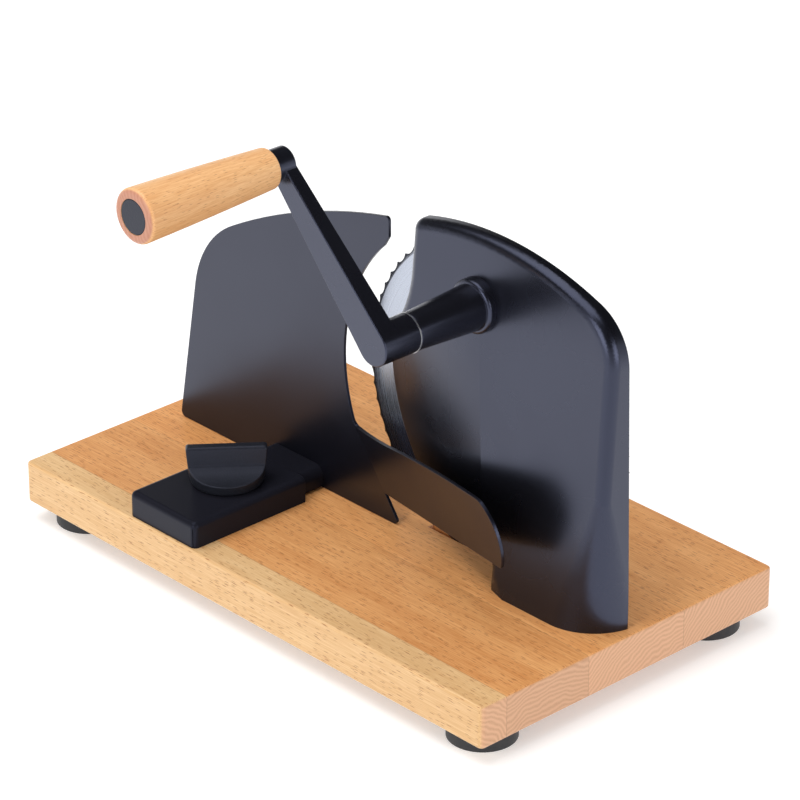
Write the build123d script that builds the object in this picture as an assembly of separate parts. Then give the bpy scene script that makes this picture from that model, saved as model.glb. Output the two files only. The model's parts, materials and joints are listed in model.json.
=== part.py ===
from build123d import *
from math import asin, atan2, cos, degrees, pi, radians, sin, sqrt, tan
import os

# Hand cranked bread slicer on a beech board. Millimetres, +Z up.
# X runs along the board, Y across it from the crank side to the loaf side.
# X = Y = 0 is the middle of the board. Heights are drawn from the board's top
# face; save() lifts every piece so that Z = 0 is the plane the feet stand on.

# --- board and feet ---------------------------------------------------------
board_length = 340
board_width = 200
board_thickness = 23
board_corner = 3
board_edge = 1.5
foot_height = 10
foot_radius = 17.5
foot_top_radius = 15.5
foot_lip = 3.5
foot_cavity = 4
foot_inset = 23
foot_screw_shank = 2
foot_screw_length = 14

# --- clearances and common details ------------------------------------------
gap = 0.3                 # between pieces that slide or turn past each other
running_fit = 0.05        # radial clearance of a shaft in its bearing
head_height = 2.2         # countersunk screw heads

# --- blade and its drive ----------------------------------------------------
blade_x = 70
blade_h = 82
blade_radius = 90
blade_thickness = 1.2
blade_front_y = 4.9
blade_teeth = 66
tooth_depth = 1.6
bevel_width = 3
bevel_depth = 0.8
blade_slot_gap = 1.4
axle_radius = 5
axle_boss_radius = 9
axle_grip = 5
washer_thickness = 0.5
gear_module = 1.5
gear_teeth = 56
pinion_teeth = 26
gear_backlash = 0.45
gear_front_y = -3.0
gear_back_y = 1.1
gear_hub_radius = 11
blade_flange_radius = 21
blade_screw_circle = 16
blade_screw_shank = 1.5
blade_screw_head = 2.7
cap_screw_radius = 11
cap_screw_height = 2.5
cap_thread_radius = 3

# --- blade housing ----------------------------------------------------------
wall = 2.0
housing_back_y = 3.0
housing_front_y = -21.5
front_lean = 5.3          # degrees, the front face leans back as it rises
side_lean = 1.66          # degrees, the right side draws in as it rises
housing_right_x = 165
housing_foot_x = 91.5
housing_left_x = 21.0
crown_height = 178.2
crown_x = 72.4
crown_radius = 188.7
crown_corner = 30
left_corner = 6.2
cover_radius = 66
cove_radius = 56
cove_foot_radius = 6
rim_radius = 6
corner_radius_low = 30
corner_radius_high = 5
corner_top_h = 75
flank_top = (17, -10.1, 122)
flank_foot = (92, -20.0, 15)
flank_deep = (20, 0.5, 25)
back_plate_thickness = 1.2
plate_boss_radius = 3.5
plate_screw_shank = 1.5
plate_screw_head = 2.6
housing_screw_shank = 2.0
housing_screw_head = 4.0
housing_boss_height = 16
housing_screw_y = -8
plate_screw_left = (10, 19)    # in from the left side and down from the crown
plate_screw_right = (15, 42)   # in from the right side and down from the crown
plate_screw_foot = (13, 32)    # in from the right side and up from the foot

# --- crank bearing sleeve ---------------------------------------------------
sleeve_front_y = -53.2
sleeve_front_radius = 9.6
sleeve_back_radius = 12
bead_radius = 13.9
bead_width = 4.2
spigot_radius = 9
bush_length = 10
bush_wall = 2

# --- crank ------------------------------------------------------------------
shaft_radius = 5
arm_length = 98
arm_angle = 133.2         # degrees from +X, as the photograph shows it
arm_front_y = -76.7
arm_hub_thickness = 10.2
arm_eye_thickness = 6.9
hub_radius = 9.9
arm_eye_half_width = 5.6
eye_radius = 8.1
eye_front_y = -80.6
ring_thickness = 0.6
set_screw_radius = 2
clip_thickness = 0.8
pinion_front_y = -3.4

# --- handle -----------------------------------------------------------------
grip_length = 82.5
grip_small_radius = 10.3
grip_middle_radius = 12.3
grip_large_radius = 13.7
grip_free_round = 2.5
grip_eye_round = 1.5
pin_radius = 3.5
plug_radius = 8.8
plug_thickness = 4
pin_head_radius = 6.5
pin_head_thickness = 1.5
pin_head_room = 9

# --- stop plate -------------------------------------------------------------
plate_front_y = -7.0
plate_thickness = 1.6
plate_foot_x = -155
plate_lean_x = -141.5
plate_lean_h = 78
plate_shoulder_h = 109
plate_shoulder_radius = 60
plate_tip_x = 6.7
plate_tip_h = 168.2
plate_tip_drop = 10.8
plate_top_radius = 400
blade_clearance = 6.5     # from the teeth to the plate's edge
fold_corner_h = 49.6
fold_corner_radius = 4.5
fold_top_angle = 235      # where on the round corner the fold ends
fold_foot = (14, 0.5)
fold_angle = 17
tab_low_h = 15.2
tab_low_rise = 8.7        # degrees
tab_end_low_x = 123.3
tab_end_high = (109.6, 66.3)
tab_end_radius = 22.5
tab_end_round = 10
tab_hollow = (3, 47)      # the upper edge first dips, then swells
tab_turn = (21.7, 50.8)
tab_swell = (62, 59.2)

# --- slide, guide box and clamp ---------------------------------------------
box_left_x = -88
box_right_x = -37.5
box_front_y = -98
box_back_y = -24
box_height = 14
sheet = 1.5
box_edge_radius = 3.2
flange_thickness = 1.2
flange_reach = 12
seam_width = 0.4
slide_width = 40.5
slide_wall = 2.0
slide_edge_radius = 6
slide_front_y = -77
slide_tab = 2.2
slide_screw_spread = 20
slide_screw_h = 7
slide_screw_shank = 1.5
slide_screw_head = 2.8
thickness_travel_out = 8.5
thickness_travel_in = 7.0
guide_plate_thickness = 3
guide_screw_shank = 1.75
guide_screw_head = 3.5
guide_screw_inset = (6, 13, 9)  # from the channel's wall, the box's front and its rear
knob_y = -54.5
knob_base_radius = 18.5
knob_rim_radius = 19.6
knob_rim_height = 5.4
knob_root_height = 9.4
knob_height = 19.7
knob_wing_radius = 20.9
knob_wing_foot = 8.2
knob_wing_top = 6.2
knob_ramp_sag = 1.1
knob_root_round = 1.6
knob_crest_round = 1.8
knob_angle = 51           # degrees from +X
stud_radius = 4
nut_thickness = 4
nut_width = 30
nut_length = 22

# --- sizes worked out from those above --------------------------------------
board_top = foot_height + board_thickness
pitch_radius_gear = gear_module * gear_teeth / 2
pitch_radius_pinion = gear_module * pinion_teeth / 2
crank_x = blade_x
crank_h = blade_h + pitch_radius_gear + pitch_radius_pinion
blade_back_y = blade_front_y + blade_thickness
plate_back_y = plate_front_y + plate_thickness
back_plate_front_y = housing_back_y - back_plate_thickness
eye_x = crank_x + arm_length * cos(radians(arm_angle))
eye_h = crank_h + arm_length * sin(radians(arm_angle))
hub_back_y = sleeve_front_y - gap - ring_thickness
grip_eye_y = eye_front_y - gap
grip_free_y = grip_eye_y - grip_length
fold_corner_reach = blade_radius + blade_clearance - fold_corner_radius
fold_corner_drop = blade_h - fold_corner_h
fold_corner_x = blade_x - sqrt(fold_corner_reach ** 2 - fold_corner_drop ** 2)
fold_edge_angle = 180 + degrees(asin(fold_corner_drop / fold_corner_reach))
slide_x = (box_left_x + box_right_x) / 2
slide_low_h = flange_thickness + gap
slide_high_h = box_height - sheet - gap
cavity_reach = 60


# --- small helpers ----------------------------------------------------------
def cylinder_y(radius, y_from, y_to, x=0.0, h=0.0):
    """Round bar along Y."""
    bar = Rot(90, 0, 0) * Cylinder(radius, y_to - y_from)
    return Pos(x, (y_from + y_to) / 2, h) * bar


def cylinder_z(radius, h_from, h_to, x, y):
    """Round bar along Z."""
    return Pos(x, y, (h_from + h_to) / 2) * Cylinder(radius, h_to - h_from)


def block(x_from, x_to, y_from, y_to, h_from, h_to):
    """Block given by its six faces."""
    middle = ((x_from + x_to) / 2, (y_from + y_to) / 2, (h_from + h_to) / 2)
    return Pos(*middle) * Box(x_to - x_from, y_to - y_from, h_to - h_from)


def slab(outline, y_from, y_to):
    """An outline drawn in X and height, given its depth in Y."""
    return Pos(0, y_to, 0) * extrude(Plane.XZ * outline, amount=y_to - y_from)


def turned_y(profile, x, h):
    """A profile of (radius, y) points turned round an axis along Y."""
    face = make_face(Polyline(*profile, close=True))
    return Pos(x, 0, h) * revolve(face, Axis.Y)


def turned_z(profile, x, y):
    """A profile of (radius, height) points turned round an upright axis."""
    face = make_face(Plane.XZ * Polyline(*profile, close=True))
    return Pos(x, y, 0) * revolve(face, Axis.Z)


def nearest(items, point):
    """The vertex or edge that lies nearest a point."""
    return items.sort_by_distance(Vector(*point))[0]


def around(x, h, radius, angle):
    """Point on a circle in X and height, the angle in degrees from +X."""
    return (x + radius * cos(radians(angle)), h + radius * sin(radians(angle)))


def countersunk_y(x, h, head_y, tip_y, shank, head):
    """Screw along Y with its flat head at head_y, pointing to tip_y."""
    turn = 1 if tip_y > head_y else -1
    neck_y = head_y + turn * (head - shank)
    profile = [(0, head_y), (head, head_y), (shank, neck_y), (shank, tip_y), (0, tip_y)]
    return turned_y(profile, x, h)


def join(pieces):
    """A group of separate solids as one shape."""
    return Compound(children=list(pieces))


def save(name, shape):
    """Write one piece, lifted from the board's top onto the feet plane."""
    solids = [Pos(0, 0, board_top) * solid for solid in shape.solids()]
    result = solids[0] if len(solids) == 1 else Compound(solids)
    result.label = name
    export_step(result, f"parts/{name}.step")


# --- board and feet ---------------------------------------------------------
def foot_centres():
    x = board_length / 2 - foot_inset
    y = board_width / 2 - foot_inset
    return {
        "foot_front_left": (-x, -y),
        "foot_front_right": (x, -y),
        "foot_rear_left": (-x, y),
        "foot_rear_right": (x, y),
    }


def foot(x, y):
    """Rubber suction foot: a cup with a flat lip and a recess for its screw."""
    low = -board_thickness - foot_height
    high = -board_thickness
    cup = low + foot_cavity
    seat = cup + 1.5
    recess = foot_screw_shank * 2.6
    profile = [
        (foot_screw_shank, high),
        (foot_top_radius, high),
        (foot_radius, low + 2.5),
        (foot_radius, low),
        (foot_radius - foot_lip, low),
        (recess + 2, cup),
        (recess, cup),
        (recess, seat),
        (foot_screw_shank, seat),
    ]
    return turned_z(profile, x, y)


def foot_screw(x, y):
    """Pan head screw that holds a foot to the board."""
    seat = -board_thickness - foot_height + foot_cavity + 1.5
    head = foot_screw_shank * 2.2
    tip = -board_thickness + foot_screw_length
    profile = [
        (0, seat - 1.8),
        (head - 0.8, seat - 1.8),
        (head, seat - 1),
        (head, seat),
        (foot_screw_shank, seat),
        (foot_screw_shank, tip - 3),
        (0, tip),
    ]
    return turned_z(profile, x, y)


def housing_screw_places():
    """Where the housing is screwed down, from under the board."""
    span = housing_right_x - housing_foot_x
    return [(housing_foot_x + span * share, housing_screw_y) for share in (0.16, 0.48, 0.8)]


def guide_screw_places():
    """Four screws in the corners of the guide plate."""
    side, front, rear = guide_screw_inset
    x = slide_width / 2 - slide_wall - side
    return [(slide_x + sx * x, y) for sx in (-1, 1) for y in (box_front_y + front, box_back_y - rear)]


def base_board():
    """Board with the blade's slot and every screw hole."""
    size = (board_length, board_width, board_thickness)
    board = Pos(0, 0, -board_thickness / 2) * Box(*size)
    board = fillet(board.edges().filter_by(Axis.Z), board_corner)
    flats = board.faces().sort_by(Axis.Z)
    board = fillet(flats[0].edges() + flats[-1].edges(), board_edge)
    board -= blade_slot()
    for x, y in foot_centres().values():
        board -= cylinder_z(foot_screw_shank, -board_thickness, foot_screw_length - board_thickness, x, y)
    for x, y in housing_screw_places():
        board -= cylinder_z(housing_screw_shank, -board_thickness, 0, x, y)
        board -= cylinder_z(housing_screw_head + gap, -board_thickness, -board_thickness + 8, x, y)
    for x, y in guide_screw_places():
        board -= cylinder_z(guide_screw_shank, -14, 0, x, y)
    return board


def blade_slot():
    """Slot that the blade's lower edge turns in."""
    deep = blade_radius + 2 - blade_h
    half = sqrt((blade_radius + 4) ** 2 - blade_h ** 2)
    y_from = blade_front_y - blade_slot_gap
    y_to = blade_back_y + blade_slot_gap
    slot = block(blade_x - half, blade_x + half, y_from, y_to, -deep, 5)
    upright = slot.edges().filter_by(Axis.Y).group_by(Axis.Z)[0]
    return fillet(upright, 4)


# --- blade housing ----------------------------------------------------------
def housing_outline():
    """The housing seen from the crank side: crown, cove, blade cover and foot."""
    crown_h = crown_height - crown_radius
    cove_x = housing_left_x - cove_radius
    reach = cover_radius + cove_radius
    cove_h = blade_h + sqrt(reach ** 2 - (cove_x - blade_x) ** 2)
    cover_start = degrees(atan2(cove_h - blade_h, cove_x - blade_x))
    cover_end = 270 + degrees(atan2(housing_foot_x - blade_x, sqrt(
        cover_radius ** 2 - (housing_foot_x - blade_x) ** 2)))
    cove_join = around(blade_x, blade_h, cover_radius, cover_start)
    cover_foot = around(blade_x, blade_h, cover_radius, cover_end)
    left_top = (housing_left_x, crown_h + sqrt(crown_radius ** 2 - (housing_left_x - crown_x) ** 2))
    right_top = side_meets_crown(crown_h)
    cove_middle = around(cove_x, cove_h, cove_radius, (cover_start - 180) / 2)
    edges = [
        Line((housing_foot_x, 0), (housing_right_x, 0)),
        Line((housing_right_x, 0), right_top),
        ThreePointArc(right_top, (crown_x, crown_height), left_top),
        Line(left_top, (housing_left_x, cove_h)),
        ThreePointArc((housing_left_x, cove_h), cove_middle, cove_join),
        ThreePointArc(cove_join, around(blade_x, blade_h, cover_radius, 215), cover_foot),
        Line(cover_foot, (housing_foot_x, 0)),
    ]
    face = make_face(Curve() + edges)
    face = fillet(nearest(face.vertices(), (*right_top, 0)), crown_corner)
    face = fillet(nearest(face.vertices(), (*left_top, 0)), left_corner)
    return fillet(nearest(face.vertices(), (*cover_foot, 0)), cove_foot_radius)


def side_meets_crown(crown_h):
    """Where the leaning right side runs into the crown arc."""
    slope = tan(radians(side_lean))
    h = crown_height
    for _ in range(20):
        x = housing_right_x - h * slope
        h = crown_h + sqrt(crown_radius ** 2 - (x - crown_x) ** 2)
    return (housing_right_x - h * slope, h)


def front_cutter(inset):
    """Everything in front of the leaning front face."""
    y = housing_front_y + inset / cos(radians(front_lean))
    cut = Box(900, 200, 900, align=(Align.CENTER, Align.MAX, Align.CENTER))
    return Pos(0, y, 0) * Rot(-front_lean, 0, 0) * cut


def flank_cutter(inset):
    """Everything in front of the sloping flank that turns the slice forward."""
    start = Vector(*flank_top)
    along = Vector(*flank_foot) - start
    down = Vector(*flank_deep) - start
    normal = along.cross(down).normalized()
    if normal.Y < 0:
        normal = normal * -1
    plane = Plane(origin=start + normal * inset, x_dir=along, z_dir=normal)
    return plane.location * Box(700, 700, 120, align=(Align.CENTER, Align.CENTER, Align.MAX))


def corner_section(h, radius, inset):
    """The piece cut off the front right corner at one height."""
    x = housing_right_x - h * tan(radians(side_lean)) - inset
    y = housing_front_y + h * tan(radians(front_lean)) + inset
    front = (x - radius, y)
    side = (x, y + radius)
    middle = (x - radius + radius * cos(pi / 4), y + radius - radius * sin(pi / 4))
    far = 8
    edges = [
        ThreePointArc(front, middle, side),
        Line(side, (x + far, y + radius)),
        Line((x + far, y + radius), (x + far, y - far)),
        Line((x + far, y - far), (x - radius, y - far)),
        Line((x - radius, y - far), front),
    ]
    return Pos(0, 0, h) * make_face(Curve() + edges)


def corner_cutter(inset):
    """Cone that rounds the front right corner, wide at the foot and gone higher up."""
    low = -0.02 * corner_top_h
    span = (corner_radius_low - corner_radius_high) / corner_top_h
    low_radius = corner_radius_low - low * span - inset
    high_radius = corner_radius_high - inset
    faces = [
        corner_section(low, low_radius, inset),
        corner_section(corner_top_h, high_radius, inset),
    ]
    return loft(faces, ruled=True)


def housing_form(inset):
    """The housing's outside, or its inside when inset by the wall."""
    outline = housing_outline()
    back = housing_back_y
    if inset:
        outline = offset(outline, amount=-inset)
        back = housing_back_y + cavity_reach
    form = slab(outline, housing_front_y - 10, back)
    form -= front_cutter(inset)
    form = fillet(rim_edges(form, inset), rim_radius - inset)
    form -= flank_cutter(inset)
    return form - corner_cutter(inset)


def rim_edges(form, inset):
    """Edges round the front face, but not its foot."""
    front = form.faces().sort_by(Axis.Y)[0]
    foot_h = inset
    return [edge for edge in front.edges() if edge.center().Z > foot_h + 0.5]


def plate_screw_places():
    """Bosses that carry the back plate, clear of both gears."""
    return [
        (housing_left_x + plate_screw_left[0], crown_height - plate_screw_left[1]),
        (housing_right_x - plate_screw_right[0], crown_height - plate_screw_right[1]),
        (housing_right_x - plate_screw_foot[0], plate_screw_foot[1]),
        around(blade_x, blade_h, cover_radius - wall - plate_boss_radius - 2, 200),
    ]


def blade_housing():
    """Thin shell, open at the back, with bosses for the axle and the screws."""
    outside = housing_form(0)
    bosses = cylinder_y(axle_boss_radius, -60, axle_boss_end(), blade_x, blade_h)
    for x, h in plate_screw_places():
        bosses += cylinder_y(plate_boss_radius, -60, back_plate_front_y, x, h)
    for x, y in housing_screw_places():
        bosses += cylinder_z(housing_screw_shank * 2.2, 0, housing_boss_height, x, y)
        bosses += block(x - wall / 2, x + wall / 2, -60, y, 0, housing_boss_height)
    shell = outside - housing_form(wall) + (bosses & outside)
    shell -= cylinder_y(axle_radius, axle_boss_end() - axle_grip, 60, blade_x, blade_h)
    shell -= cylinder_y(spigot_radius, -60, 60, crank_x, crank_h)
    for x, h in plate_screw_places():
        shell -= cylinder_y(plate_screw_shank, plate_screw_tip(), 60, x, h)
    for x, y in housing_screw_places():
        shell -= cylinder_z(housing_screw_shank, -1, housing_boss_height - 2, x, y)
    return shell, outside


def axle_boss_end():
    """Where the axle's boss stops and the thrust washer starts."""
    return gear_front_y - 3 - gap - washer_thickness


def plate_screw_tip():
    return back_plate_front_y - 3


def back_plate():
    """Sheet that closes the housing behind the gears."""
    outline = offset(housing_outline(), amount=-(wall + 0.1))
    plate = slab(outline, back_plate_front_y, housing_back_y)
    plate -= cylinder_y(blade_flange_radius + 1, -60, 60, blade_x, blade_h)
    plate -= cylinder_y(shaft_radius + 3, -60, 60, crank_x, crank_h)
    plate -= flank_cutter(wall + 0.1)
    plate -= corner_cutter(wall + 0.1)
    for x, h in plate_screw_places():
        plate -= plate_screw(x, h)
    return plate


def plate_screw(x, h):
    return countersunk_y(x, h, housing_back_y, plate_screw_tip(), plate_screw_shank, plate_screw_head)


def housing_screw(x, y):
    """Long screw from a recess under the board up into the housing."""
    seat = -board_thickness + 8
    profile = [
        (0, seat - 3),
        (housing_screw_head, seat - 3),
        (housing_screw_head, seat),
        (housing_screw_shank, seat),
        (housing_screw_shank, housing_boss_height - 3),
        (0, housing_boss_height - 3),
    ]
    return turned_z(profile, x, y)


# --- blade and gear train ---------------------------------------------------
def gear_face(teeth, phase):
    """Involute spur gear, with a tooth centred on the phase angle."""
    pitch = gear_module * teeth / 2
    base = pitch * cos(radians(20))
    tip = pitch + gear_module
    root = pitch - 1.25 * gear_module
    pressure = tan(radians(20)) - radians(20)
    half_pitch = pi / (2 * teeth) - gear_backlash / (4 * pitch)

    def half_angle(radius):
        slant = sqrt(max((radius / base) ** 2 - 1, 0))
        return half_pitch + pressure - (slant - atan2(slant, 1))

    radii = [root, max(base, root + 0.2), (pitch + tip) / 2 - 0.3 * gear_module, tip]
    points = []
    for k in range(teeth):
        centre = radians(phase) + 2 * pi * k / teeth
        for radius in radii:
            angle = centre - half_angle(radius)
            points.append((radius * cos(angle), radius * sin(angle)))
        for radius in reversed(radii):
            angle = centre + half_angle(radius)
            points.append((radius * cos(angle), radius * sin(angle)))
    return make_face(Polyline(*points, close=True))


def blade_gear():
    """Large gear with the flange that the blade is screwed to."""
    half_tooth = 180 / gear_teeth
    ring = slab(gear_face(gear_teeth, 90 + half_tooth), gear_front_y, gear_back_y)
    gear = Pos(blade_x, 0, blade_h) * ring
    gear += cylinder_y(gear_hub_radius, gear_front_y - 3, gear_front_y, blade_x, blade_h)
    gear += cylinder_y(blade_flange_radius, gear_back_y, blade_front_y, blade_x, blade_h)
    gear -= cylinder_y(axle_radius + running_fit, -60, 60, blade_x, blade_h)
    for k in range(6):
        x, h = around(blade_x, blade_h, (pitch_radius_gear + blade_flange_radius) / 2, 60 * k)
        gear -= cylinder_y(5.5, -60, 60, x, h)
    for x, h in blade_screw_places():
        gear -= blade_screw(x, h)
    return gear


def blade_screw_places():
    return [around(blade_x, blade_h, blade_screw_circle, 90 + 120 * k) for k in range(3)]


def blade_screw(x, h):
    return countersunk_y(x, h, blade_back_y, gear_front_y + 1, blade_screw_shank, blade_screw_head)


def blade_outline():
    """Wavy edge: one shallow scallop from each tooth tip to the next."""
    step = 360 / blade_teeth
    edges = []
    for k in range(blade_teeth):
        start = around(0, 0, blade_radius, k * step)
        middle = around(0, 0, blade_radius - tooth_depth, (k + 0.5) * step)
        end = around(0, 0, blade_radius, (k + 1) * step)
        edges.append(Edge.make_three_point_arc((*start, 0), (*middle, 0), (*end, 0)))
    return Face(Wire(edges))


def blade_disc():
    """Serrated steel disc, ground on the crank side only."""
    disc = Pos(blade_x, 0, blade_h) * slab(blade_outline(), blade_front_y, blade_back_y)
    rim = blade_radius + 1
    profile = [
        (0, blade_front_y),
        (blade_radius - bevel_width, blade_front_y),
        (rim, blade_front_y + bevel_depth * (bevel_width + 1) / bevel_width),
        (rim, blade_back_y + 1),
        (0, blade_back_y + 1),
    ]
    disc &= turned_y(profile, blade_x, blade_h)
    disc -= cylinder_y(axle_radius + 0.6, -60, 60, blade_x, blade_h)
    for x, h in blade_screw_places():
        disc -= blade_screw(x, h)
    return disc


def blade_axle():
    """Fixed axle pressed into the housing's boss."""
    end = blade_front_y - gap
    axle = cylinder_y(axle_radius, axle_boss_end() - axle_grip, end, blade_x, blade_h)
    return axle - cylinder_y(cap_thread_radius, end - 8, 60, blade_x, blade_h)


def axle_washer():
    start = axle_boss_end()
    ring = cylinder_y(axle_boss_radius, start, start + washer_thickness, blade_x, blade_h)
    return ring - cylinder_y(axle_radius, -60, 60, blade_x, blade_h)


def blade_cap_screw():
    """Low headed screw on the loaf side that keeps the blade on its axle."""
    end = blade_front_y - gap
    face = blade_back_y + gap
    top = face + cap_screw_height
    profile = [
        (0, end - 8),
        (cap_thread_radius, end - 8),
        (cap_thread_radius, end),
        (axle_radius, end),
        (axle_radius, face),
        (cap_screw_radius, face),
        (cap_screw_radius, face + 1),
        (cap_screw_radius - 2.5, top),
        (0, top),
    ]
    screw = turned_y(profile, blade_x, blade_h)
    return screw - block(blade_x - 7, blade_x + 7, top - 1, top + 1, blade_h - 0.8, blade_h + 0.8)


# --- crank ------------------------------------------------------------------
def crank_sleeve(outside):
    """Tapered bearing sleeve with a round bead where it meets the housing."""
    seat = housing_front_y + crank_h * tan(radians(front_lean))
    bead_y = seat - bead_width / 2 - 0.6
    taper = [
        (sleeve_front_radius - 0.5, sleeve_front_y),
        (sleeve_front_radius, sleeve_front_y + 0.5),
        (sleeve_back_radius, bead_y),
        (sleeve_back_radius, seat + 4),
        (0, seat + 4),
        (0, sleeve_front_y),
    ]
    sleeve = turned_y(taper, crank_x, crank_h)
    skirt = cylinder_y(bead_radius, bead_y - bead_width / 2, seat + 4, crank_x, crank_h)
    front = skirt.faces().sort_by(Axis.Y)[0]
    sleeve += fillet(front.edges(), min(bead_width / 2, bead_radius - sleeve_back_radius))
    sleeve -= outside
    end = seat + wall / cos(radians(front_lean)) - spigot_radius * tan(radians(front_lean))
    sleeve += cylinder_y(spigot_radius, bead_y, end, crank_x, crank_h)
    sleeve -= cylinder_y(bush_bore(), -90, bush_front_end(), crank_x, crank_h)
    sleeve -= cylinder_y(bush_bore(), bush_back_start(), 60, crank_x, crank_h)
    return sleeve - cylinder_y(shaft_radius + 1, -90, 60, crank_x, crank_h)


def sleeve_end():
    """Inner end of the sleeve's spigot, inside the housing."""
    seat = housing_front_y + crank_h * tan(radians(front_lean))
    return seat + wall / cos(radians(front_lean)) - spigot_radius * tan(radians(front_lean))


def bush_bore():
    return shaft_radius + bush_wall


def bush_front_end():
    return sleeve_front_y + bush_length


def bush_back_start():
    return sleeve_end() - bush_length


def bush(y_from, y_to):
    """Plain bearing bush with the shaft's running fit."""
    ring = cylinder_y(bush_bore(), y_from, y_to, crank_x, crank_h)
    return ring - cylinder_y(shaft_radius + running_fit, -90, 60, crank_x, crank_h)


def crank_arm():
    """Tapered forged arm with its hub and the eye for the handle pin."""
    bar = make_face(Polyline(
        (0, -hub_radius),
        (arm_length - 4, -arm_eye_half_width),
        (arm_length - 4, arm_eye_half_width),
        (0, hub_radius),
        close=True,
    ))
    bar += Circle(hub_radius)
    body = slab(bar, arm_front_y, arm_front_y + arm_hub_thickness)
    back = arm_front_y + arm_hub_thickness
    slope = degrees(atan2(arm_hub_thickness - arm_eye_thickness, arm_length))
    cut = Box(600, 100, 100, align=(Align.CENTER, Align.MIN, Align.CENTER))
    body -= Pos(0, back, 0) * Rot(0, 0, -slope) * cut
    body = chamfer(body.faces().sort_by(Axis.Y)[0].edges(), 0.5)
    body += cylinder_y(hub_radius, arm_front_y + 2, hub_back_y)
    eye = cylinder_y(eye_radius, eye_front_y, arm_front_y + arm_eye_thickness, arm_length)
    body += chamfer(eye.edges().filter_by(GeomType.CIRCLE), 0.5)
    body -= cylinder_y(shaft_radius, shaft_front_y(), 60)
    body -= cylinder_y(pin_radius, -200, 60, arm_length)
    arm = Pos(crank_x, 0, crank_h) * Rot(0, -arm_angle, 0) * body
    return arm - hub_set_screw()


def shaft_front_y():
    """Bottom of the blind hole that the shaft sits in."""
    return arm_front_y + 3


def set_screw_y():
    return (arm_front_y + arm_hub_thickness + hub_back_y) / 2


def hub_set_screw():
    """Grub screw in the hub, on the side turned away from the arm."""
    length = hub_radius - shaft_radius + 0.5
    middle = shaft_radius - 1 + length / 2
    bar = Pos(0, 0, -middle) * Cylinder(set_screw_radius, length)
    turn = Rot(0, -(arm_angle - 90), 0)
    return Pos(crank_x, set_screw_y(), crank_h) * turn * bar


def crank_shaft():
    """Steel shaft from the arm's hub to the pinion, with a flat for the pinion."""
    shaft = cylinder_y(shaft_radius, shaft_front_y(), shaft_end_y(), crank_x, crank_h)
    shaft -= shaft_flat()
    shaft -= clip_ring(shaft_radius + 1, shaft_radius - 1)
    return shaft - hub_set_screw()


def shaft_end_y():
    return housing_back_y - 0.3


def shaft_flat():
    """The material missing where the shaft's end is filed flat."""
    low = crank_h + shaft_radius - 1.2
    return block(crank_x - 20, crank_x + 20, pinion_front_y, 60, low, low + 20)


def clip_ring(outer, inner):
    """Ring in the groove behind the pinion."""
    start = pinion_back_y()
    ring = cylinder_y(outer, start, start + clip_thickness, crank_x, crank_h)
    return ring - cylinder_y(inner, -90, 60, crank_x, crank_h)


def pinion_back_y():
    return gear_back_y


def pinion_clip():
    ring = clip_ring(shaft_radius + 2, shaft_radius - 1)
    return ring - block(crank_x - 2.5, crank_x + 2.5, -90, 60, crank_h - 20, crank_h)


def spacer_ring():
    """Bright thrust ring between the hub and the sleeve."""
    start = hub_back_y
    ring = cylinder_y(hub_radius + 0.2, start, start + ring_thickness, crank_x, crank_h)
    return ring - cylinder_y(shaft_radius, -90, 60, crank_x, crank_h)


def crank_pinion():
    face = gear_face(pinion_teeth, -90)
    pinion = Pos(crank_x, 0, crank_h) * slab(face, pinion_front_y, pinion_back_y())
    bore = cylinder_y(shaft_radius, -60, 60, crank_x, crank_h) - shaft_flat()
    return pinion - bore


# --- handle -----------------------------------------------------------------
def grip_outline():
    """Half section of the turned grip, radius against Y."""
    small = (grip_small_radius, grip_eye_y - grip_eye_round)
    large = (grip_large_radius, grip_free_y + grip_free_round)
    middle = (grip_middle_radius, (grip_eye_y + grip_free_y) / 2)
    eye_round = grip_eye_round * cos(pi / 4)
    free_round = grip_free_round * cos(pi / 4)
    eye_middle = (small[0] - grip_eye_round + eye_round, small[1] + eye_round)
    free_middle = (large[0] - grip_free_round + free_round, large[1] - free_round)
    eye_end = (small[0] - grip_eye_round, grip_eye_y)
    free_end = (large[0] - grip_free_round, grip_free_y)
    edges = [
        Line((0, grip_eye_y), eye_end),
        ThreePointArc(eye_end, eye_middle, small),
        ThreePointArc(small, middle, large),
        ThreePointArc(large, free_middle, free_end),
        Line(free_end, (0, grip_free_y)),
        Line((0, grip_free_y), (0, grip_eye_y)),
    ]
    return make_face(Curve() + edges)


def handle_grip():
    """Turned beech grip that spins on the pin."""
    grip = Pos(eye_x, 0, eye_h) * revolve(grip_outline(), Axis.Y)
    grip -= cylinder_y(pin_radius + 2 * running_fit, -300, 60, eye_x, eye_h)
    room = grip_free_y + plug_thickness + pin_head_room
    grip -= cylinder_y(plug_radius, -300, room, eye_x, eye_h)
    return grip


def handle_plug():
    """Flush plug that hides the pin's end."""
    plug = cylinder_y(plug_radius, grip_free_y, grip_free_y + plug_thickness, eye_x, eye_h)
    return chamfer(plug.faces().sort_by(Axis.Y)[0].edges(), 0.4)


def handle_pin():
    """Steel pin, riveted into the eye."""
    head_y = pin_head_y()
    pin = cylinder_y(pin_radius, head_y - 2, arm_front_y + arm_eye_thickness, eye_x, eye_h)
    return pin - pin_groove()


def pin_head_y():
    """Where the pin's washer bears on the grip's shoulder."""
    return grip_free_y + plug_thickness + pin_head_room - gap - pin_head_thickness


def pin_groove():
    ring = cylinder_y(pin_radius + 1, pin_head_y(), pin_head_y() + pin_head_thickness, eye_x, eye_h)
    return ring - cylinder_y(pin_radius - 0.8, -300, 60, eye_x, eye_h)


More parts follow.
